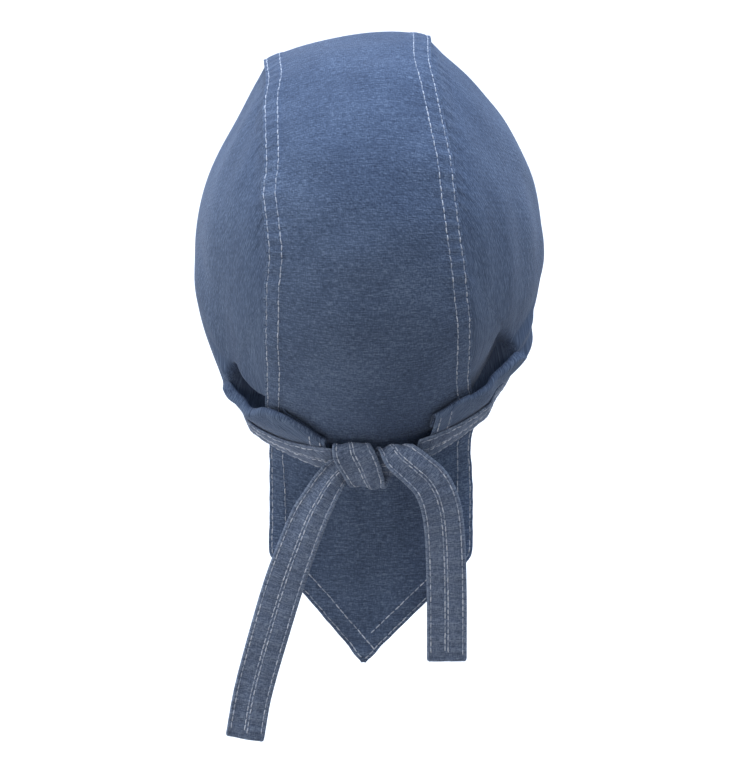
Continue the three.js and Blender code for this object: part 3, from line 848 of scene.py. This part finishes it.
CALM_ABOVE_TUCK = (2, 14)  # where a panel's unevenness sets in
CALM_ABOVE_RIM = (16, 30)
SEAM_COLUMN = 12  # along which a seam's puckers are spaced
SIDE_PUCKER = 0.38
SIDE_PUCKER_FADE = (3, 16)
SEAM_DIP = (7, 6)  # middle and width of the hollow beside a seam
SEAM_DIP_DEPTH = 0.7
SEAM_SWELL = (24, 10)
SEAM_SWELL_SHARE = 0.45
SIDE_UNEVEN = 0.35
SIDE_UNEVEN_SIZE = 42
FOLD_RUB = (0.9, 0.16)  # where a fold is rubbed
SIDE_WEAR = {"edge": 0.5, "pucker": 0.2, "hem": 0.12, "fold": 0.35}
SIDE_STITCHES = (2.3, 8.2)  # from the hem's edge


def side_grid(side_name):
    """The middle of a side panel's cloth. Each row runs on a great circle from under the centre panel
    to the rim: down the panel, round the bottom of the tuck, back up behind the fold, round the fold and
    down the pleat's outer layer. Where a row has no pleat, those columns lie side by side.
    Also each point's distance past the seam and above the tuck, its column's share of the stand, and how
    far its row is pleated."""
    sign = 1 if side_name == "left" else -1
    pleat = PLEATS[side_name]
    reach = np.concatenate([np.linspace(0, 1, SEAM_ROWS), np.ones(CORNER_ROWS - 1)])
    free = np.concatenate([np.zeros(SEAM_ROWS), np.linspace(0, 1, CORNER_ROWS)[1:]])
    corner = smoothstep(free, *FREE_CLIMB)[:, None]
    lap = lerp(SEAM_LAP, FREE_LAP, smoothstep(reach, *LAP_ENDS))
    angle = lerp(SEAM_START, SEAM_END, reach)
    azimuth = lerp(lerp(PANEL_FRONT, SEAM_AZIMUTH, reach), CORNER[side_name], free)
    edge = along(SECTIONS, "seam_" + side_name, angle)
    on_seam = direction_of(angle, side_at(angle, edge - sign * lap))
    last_height = along(pleat, "edge", CORNER[side_name]) - FREE_START
    last_start = rim_direction(side_name, CORNER[side_name], last_height)
    start = unit(lerp(on_seam, last_start, free[:, None]))
    end = rim_direction(side_name, azimuth, 0)
    turn = np.arccos(np.clip((start * end).sum(-1), -1, 1))[:, None]
    fold = along(pleat, "edge", azimuth)[:, None] / CROWN_HEIGHT
    depth = np.maximum(along(pleat, "depth", azimuth), 0)[:, None]
    pleated = smoothstep(depth, 0, PLEAT_OPENS)
    crossing = smoothstep(reach, *CROSSES_EDGE)[:, None]
    least = lerp(turn * lerp(FLAT_START, PLEAT_START, pleated), -FREE_REACH / CROWN_HEIGHT, crossing)
    fold_at = np.maximum(turn - fold, least)
    tuck_at = np.minimum(fold_at + depth / CROWN_HEIGHT, turn)
    first = corner * np.maximum(fold_at + FREE_START / CROWN_HEIGHT, 0)
    spacing = np.minimum(FLAT_SPACING / CROWN_HEIGHT, FLAT_SHARE * turn)

    def stand_at(travel):
        height = (turn - travel) * CROWN_HEIGHT
        return pleat_lift(side_name, azimuth[:, None], height)

    def settle(travel, column):
        """A column's own travel with a pleat, and its place beside the fold without one."""
        return lerp(fold_at + column * spacing, travel, pleated)

    def swell(travel, t):
        return np.sin(t * math.pi) * TURN_SWELL * stand_at(travel) / CROWN_HEIGHT

    def half_turn(t):
        return (1 - np.cos(t * math.pi)) / 4

    def inside(count):
        return np.linspace(0, 1, count + 2)[1:-1]

    panel = np.linspace(0, 1, PANEL_COLUMNS)
    low = inside(TUCK_COLUMNS)
    back = np.linspace(0, 1, BACK_COLUMNS)
    over = inside(FOLD_COLUMNS)
    front = np.linspace(0, 1, FRONT_COLUMNS)
    low_place = lerp(-PLEAT_REACH, -FLAT_BACK, low)
    back_place = lerp(-FLAT_BACK, FLAT_BACK, back)
    over_place = lerp(FLAT_BACK, PLEAT_REACH, over)
    stretches = [
        (lerp(first, settle(tuck_at, -PLEAT_REACH), panel), 0 * panel),
        (settle(tuck_at + swell(tuck_at, low), low_place), half_turn(low)),
        (settle(lerp(tuck_at, fold_at, back), back_place), 0 * back + 0.5),
        (settle(fold_at - swell(fold_at, over), over_place), 0.5 + half_turn(over)),
        (lerp(settle(fold_at, PLEAT_REACH), turn, front), 0 * front + 1),
    ]
    travel = np.minimum(np.concatenate([part[0] for part in stretches], 1), turn)
    share = np.concatenate([part[1] for part in stretches])
    from_start, from_end = np.sin(turn - travel) / np.sin(turn), np.sin(travel) / np.sin(turn)
    direction = unit(start[:, None] * from_start[..., None] + end[:, None] * from_end[..., None])
    past_seam = travel * CROWN_HEIGHT - lap[:, None]
    above_tuck = (tuck_at - travel) * CROWN_HEIGHT
    here, height = rim_place(side_name, direction)
    outer_over = smoothstep(here, *BAND_RISE) * np.minimum(2 * share, 1)
    lift = panel_lift(direction, np.maximum(corner, outer_over))
    lift = lift + share * pleat_lift(side_name, here, height)
    lift = lift + billow(side_name, here, height) * np.maximum(1 - pleated, share)
    pocket = POCKETS[side_name]
    sunk = pocket["sink"] * bump(here, pocket["middle"], pocket["reach"]) * pleated
    sunk = sunk * (1 - smoothstep(above_tuck, pocket["low"], pocket["high"]))
    sunk = sunk * np.maximum(1 - 2 * share, 0) * smoothstep(past_seam, 0, POCKET_EDGE)
    lift = lift - sunk
    return on_head(direction, lift), past_seam, above_tuck, share, pleated


def make_side(side_name):
    grid, past_seam, above_tuck, share, pleated = side_grid(side_name)
    outward = facing(grid, grid - CENTRE)
    down = run(grid, 0)
    to_end = down[-1] - down
    over = run(grid, 1)
    above_rim = over[:, -1:] - over
    outer = share == 1
    calm = (share == 0) * smoothstep(above_tuck, *CALM_ABOVE_TUCK)
    calm = calm * smoothstep(above_rim, *CALM_ABOVE_RIM)
    wave = puckers(down[:, SEAM_COLUMN])[:, None] * (1 - smoothstep(past_seam, *SIDE_PUCKER_FADE))
    hollow = bump(past_seam, *SEAM_DIP) - SEAM_SWELL_SHARE * bump(past_seam, *SEAM_SWELL)
    uneven = SIDE_UNEVEN * ripples(down, over, SIDE_UNEVEN_SIZE)
    rise = calm * (SIDE_PUCKER * wave - SEAM_DIP_DEPTH * hollow + uneven) + hem_relief(to_end) * outer
    wear = SIDE_WEAR["pucker"] * wave * calm + SIDE_WEAR["fold"] * bump(share, *FOLD_RUB) * pleated
    wear = wear + SIDE_WEAR["edge"] * bump(to_end, 0, RUB_WIDTH)
    wear = wear + SIDE_WEAR["hem"] * hem_share(to_end) * outer
    uv = np.stack([over, down], -1) / UV_SPAN
    thick = np.full(rise.shape, CLOTH)
    name = "side_cloth_" + side_name
    piece, surface = closed_cloth(name, grid, outward, panel_denim, thick, rise, wear, uv)
    rising = run(surface[0][::-1], 0).T
    columns = np.nonzero(outer)[0]
    sewn = []
    for offset in SIDE_STITCHES:
        row = len(grid) - 1 - place_at(rising, offset)[columns]
        sewn.append(stitch_row(surface, row, columns.astype(float)))
    return piece, add_stitches("side_stitches_" + side_name, sewn)


# The band round the rim

STRIP_THICK = 1.7
STRIP_ROUND = 1.2  # from a fold to the full thickness
STRIP_THINNEST = 0.12  # the square of the share of it left at a fold
STRIP_STITCHES = (1.7, 8.4, 9.8, 16.3)  # from one edge of an 18 mm strip
STRIP_GROOVE_DEPTH = 0.32
STRIP_GROOVE_WIDTH = 0.75
STRIP_WEAR = {"fold": 0.5, "pucker": 0.16}
BAND_OVERHANG = 1
BAND_CLEARANCE = 0.3
BAND_END = {"left": 166.4, "right": 162.5}
BAND_FRONT = (24, 34)  # the azimuths where the band comes down from the centre panel
BAND_ROWS = 420
BAND_COLUMNS = 33
BAND_PUCKER = 0.14
BAND_RUBBED = 0.1  # how much the whole band is worn


def strip_columns(count, power=1.6):
    """Places from -1 to 1 across a strip, closer together towards its edges."""
    t = np.linspace(-1, 1, count)
    return np.sign(t) * (1 - (1 - np.abs(t)) ** power)


def strip_relief(off, width):
    """How far a folded strip's face is pressed down along each row of stitches, by the distance from one
    edge. The rows move with the strip's width."""
    pressed = sum(bump(off, row * width / STRIP_WIDTH, STRIP_GROOVE_WIDTH) for row in STRIP_STITCHES)
    return -STRIP_GROOVE_DEPTH * pressed


def strip_thickness(off, width):
    """The thickness across a folded strip: a quarter circle at each fold."""
    near = np.minimum(np.minimum(off, width - off) / STRIP_ROUND, 1)
    return STRIP_THICK * np.sqrt(np.clip(1 - (1 - near) ** 2, STRIP_THINNEST, 1))


def add_strip(name, grid, outward, down, wave, uneven, rubbed, sewn_rows):
    """A folded strip's cloth round a grid of middle points, and its four rows of stitches. Down is the
    distance along the strip, and rubbed is how much all of it is worn."""
    off = run(grid, 1)
    width = off[:, -1:]
    rise = strip_relief(off, width) + uneven
    folds = bump(off, 0, RUB_WIDTH) + bump(off, width, RUB_WIDTH)
    wear = STRIP_WEAR["fold"] * folds + STRIP_WEAR["pucker"] * wave + rubbed
    uv = np.stack([off, down], -1) / UV_SPAN
    thick = strip_thickness(off, width)
    piece, surface = closed_cloth(name + "_cloth", grid, outward, strip_denim, thick, rise, wear, uv)
    across = run(surface[0], 1)
    share = across[:, -1] / STRIP_WIDTH
    rows = np.arange(sewn_rows, dtype=float)
    sewn = []
    for row in STRIP_STITCHES:
        sewn.append(stitch_row(surface, rows, place_at(across, row * share)[:sewn_rows]))
    return piece, add_stitches(name + "_stitches", sewn)


def make_band():
    left, right = BAND_END["left"], BAND_END["right"]
    azimuth = np.linspace(-right, left, BAND_ROWS)[:, None]
    at = np.abs(azimuth)
    height = (strip_columns(BAND_COLUMNS) + 1) / 2 * STRIP_WIDTH - BAND_OVERHANG
    grid = np.zeros((BAND_ROWS, len(height), 3))
    for side_name in ("left", "right"):
        here = (azimuth[:, 0] > 0) == (side_name == "left")
        direction = rim_direction(side_name, at[here], height)
        corner = smoothstep(at[here], *BAND_RISE)
        front = 1 - smoothstep(at[here], *BAND_FRONT)
        cloth = np.maximum(panel_lift(direction, corner), OVER_FOREHEAD * front) + CLOTH / 2
        stand = pleat_lift(side_name, at[here], height) + billow(side_name, at[here], height)
        grid[here] = on_head(direction, cloth + stand + BAND_CLEARANCE + STRIP_THICK / 2)
    down = run(grid, 0)
    wave = puckers(down[:, BAND_COLUMNS // 2])[:, None]
    outward = facing(grid, grid - CENTRE)
    return add_strip("band", grid, outward, down, wave, BAND_PUCKER * wave, BAND_RUBBED, BAND_ROWS)


# The ties

TIE_COLUMNS = "x y z pitch turn width"
TIE_LEFT = table(TIE_COLUMNS, [
    [-19.5, 71.5, -181, -40, -14, 18],
    [-12, 74.2, -182.8, -18, -5, 14],
    [-3, 74.3, -183.5, -15, 0, 12.5],
    [6, 74, -184, -15, 0, 12.5],
    [13.5, 74.1, -186.5, -10, 5, 12.5],
    [19, 75.4, -192.5, 0, 10, 14],
    [23.7, 76.6, -200.5, 5, 12, 15.5],
    [28.5, 76.5, -210, 5, 10, 17],
    [38, 75, -236, 0, 5, 18],
    [45.5, 74, -261, 0, 2, 18],
    [54.5, 72, -295, 0, 0, 17.5],
    [58.5, 71.5, -317.5, 0, 0, 17.5],
])
TIE_RIGHT = table(TIE_COLUMNS, [
    [10, 71.8, -179.4, 165, 0, 11],
    [9.6, 73.2, -176, 140, 0, 13],
    [8.8, 76.8, -174, 75, 0, 17],
    [7.8, 78.9, -177.3, 10, 0, 18],
    [4.4, 78, -184.4, -12, 0, 18],
    [1.2, 76.4, -191.8, -35, 0, 16],
    [-1, 72.4, -194.4, -105, 0, 13],
    [-3.4, 69.3, -190.4, -160, 0, 12],
    [-6.6, 70.4, -182.8, -195, 0, 11],
    [-8.6, 72.6, -177.5, -230, 0, 11],
    [-10.2, 76.8, -175.4, -290, 0, 13],
    [-13.6, 80.4, -178.2, -335, -4, 15.5],
    [-20.4, 81.4, -183.6, -358, -12, 16.5],
    [-27.6, 80.3, -191, -362, -12, 17.5],
    [-32, 79, -201, -360, -8, 18],
    [-34.2, 77, -215, -360, -4, 18],
    [-35.4, 74, -243, -360, 0, 18],
    [-35.7, 71, -279.5, -360, 0, 18],
])
TIE_ROW_LENGTH = 0.8
TIE_WIDTH_COLUMNS = 31
TIE_LINE_STEPS = 2000
TIE_UNSEWN_ROWS = 2  # at the hanging end
TIE_PUCKER = 0.13
TIE_UNEVEN = 0.2
TIE_UNEVEN_SIZE = 22
TIE_RUBBED = 0.12
SQUEEZE_HEIGHT = 0.42  # of the ripples across a strip squeezed narrow
SQUEEZE_WAVES = 1.5
SQUEEZE_START = 0.4


def make_tie(name, points):
    """A folded strip carried along a smooth line through its table's points. The face looks the way the
    pitch and the turn say, and the strip runs across from it. Where the knot squeezes it narrow, the
    width it loses goes into two ripples along it."""
    spots = np.stack([points["x"], points["y"], points["z"]])
    steps = np.linalg.norm(np.diff(spots, axis=1), axis=0)
    knots = np.concatenate([[0], np.cumsum(np.sqrt(steps))])
    length = float(steps.sum())
    fine = np.linspace(0, knots[-1], TIE_LINE_STEPS)
    gone = run(smooth_line(knots, spots, fine).T[:, None], 0)[:, 0]
    rows = int(length / TIE_ROW_LENGTH)
    place = np.interp(np.linspace(0, gone[-1], rows), gone, fine)
    middle = smooth_line(knots, spots, place).T
    ahead = unit(np.gradient(middle, axis=0))
    pitch, turn, width = (smooth_line(knots, points[key], place) for key in ("pitch", "turn", "width"))
    pitch, turn = np.radians(pitch), np.radians(turn)
    level = np.cos(pitch)
    face = np.stack([level * np.sin(turn), level * np.cos(turn), np.sin(pitch)], -1)
    across = unit(np.cross(ahead, face))
    front = unit(np.cross(across, ahead))
    t = strip_columns(TIE_WIDTH_COLUMNS)
    lost = np.maximum(STRIP_WIDTH - width, 0)[:, None]
    ripple = SQUEEZE_HEIGHT * np.sqrt(lost) * np.cos(t * math.pi * SQUEEZE_WAVES + SQUEEZE_START)
    grid = middle[:, None] + across[:, None] * (t[:, None] * width[:, None, None] / 2)
    grid = grid + front[:, None] * ripple[..., None]
    off = run(grid, 1)
    down = np.linspace(0, gone[-1], rows)[:, None] + 0 * off
    wave = puckers(down[:, 0])[:, None]
    uneven = TIE_PUCKER * wave + TIE_UNEVEN * ripples(down, off, TIE_UNEVEN_SIZE)
    outward = facing(grid, front[:, None])
    return add_strip(name, grid, outward, down, wave, uneven, TIE_RUBBED, rows - TIE_UNSEWN_ROWS)


# The pieces, made in this order, with what each stands for and the cut of its sheet

PIECES = [
    (make_centre(), "centre_panel", "denim", (0.098, 0.474), 0.0415, "stretched"),
    (make_side("left"), "side_panel_left", "denim", (0.12, 0.335), 0.025, "stretched"),
    (make_side("right"), "side_panel_right", "denim", (0.13, 0.335), 0.0275, "stretched"),
    (make_band(), "head_band", "denim_strip", (0.018, 0.48), None, "stretched"),
    (make_tie("tie_left", TIE_LEFT), "tie_left", "denim_strip", (0.018, 0.17), None, "hung"),
    (make_tie("tie_right", TIE_RIGHT), "tie_right", "denim_strip", (0.018, 0.17), None, "hung"),
]
for (cloth, stitches), cad_node, slot, flat, area, held in PIECES:
    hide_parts(cad_node)

# The stage: a pale floor under the ties, a wide soft light above, a soft one at each side, and a warm
# one low on the camera's side

FLOOR = -420.0
FLOOR_SIZE = 16.0  # metres
WORLD_STRENGTH = 0.35
LIGHTS = [
    ("overhead", (0.0, -0.2, 1.3), "SUN", 60, 4.0, "#dceaff"),
    ("left_fill", (1.5, 0.4, 0.1), "AREA", 0.8, 11.0, "#fffaf4"),
    ("right_fill", (-1.4, 0.1, 0.8), "AREA", 0.8, 5.0, "#ffffff"),
    ("low_fill", (0.2, 1.8, -0.7), "AREA", 0.8, 34.0, "#ffe8d4"),
]


def add_floor():
    """A square sheet that the camera sees, but that throws no light back on the cloth."""
    half = FLOOR_SIZE / 2
    mesh = bpy.data.meshes.new("floor")
    corners = [(-half, -half), (half, -half), (half, half), (-half, half)]
    mesh.from_pydata([(x, y, FLOOR * MM) for x, y in corners], [], [(0, 1, 2, 3)])
    mesh.materials.append(studio_paper("pale_studio_paper", "#f4f4f4"))
    floor = bpy.data.objects.new("floor", mesh)
    floor.visible_diffuse = False
    bpy.context.scene.collection.objects.link(floor)


def add_light(name, place, kind, size, power, colour):
    """A soft light at a place in metres, turned towards the middle of the head: a square lamp with a
    size in metres and a power in watts, or a sun with an angle in degrees."""
    data = bpy.data.lights.new(name, kind)
    if kind == "SUN":
        data.angle = math.radians(size)
    else:
        data.size = size
    data.energy = power
    data.color = linear(colour)[:3]
    light = bpy.data.objects.new(name, data)
    light.location = place
    towards = CENTRE * MM - np.array(place)
    level = math.hypot(towards[0], towards[1])
    tilt = math.atan2(level, -towards[2])
    light.rotation_euler = (tilt, 0, math.atan2(-towards[0], towards[1]))
    bpy.context.scene.collection.objects.link(light)


add_floor()
for light in LIGHTS:
    add_light(*light)
world = bpy.data.worlds.new("studio")
world.use_nodes = True
background = world.node_tree.nodes["Background"]
background.inputs["Color"].default_value = linear("#ffffff")
background.inputs["Strength"].default_value = WORLD_STRENGTH
bpy.context.scene.world = world
bpy.context.scene.view_settings.view_transform = "Standard"
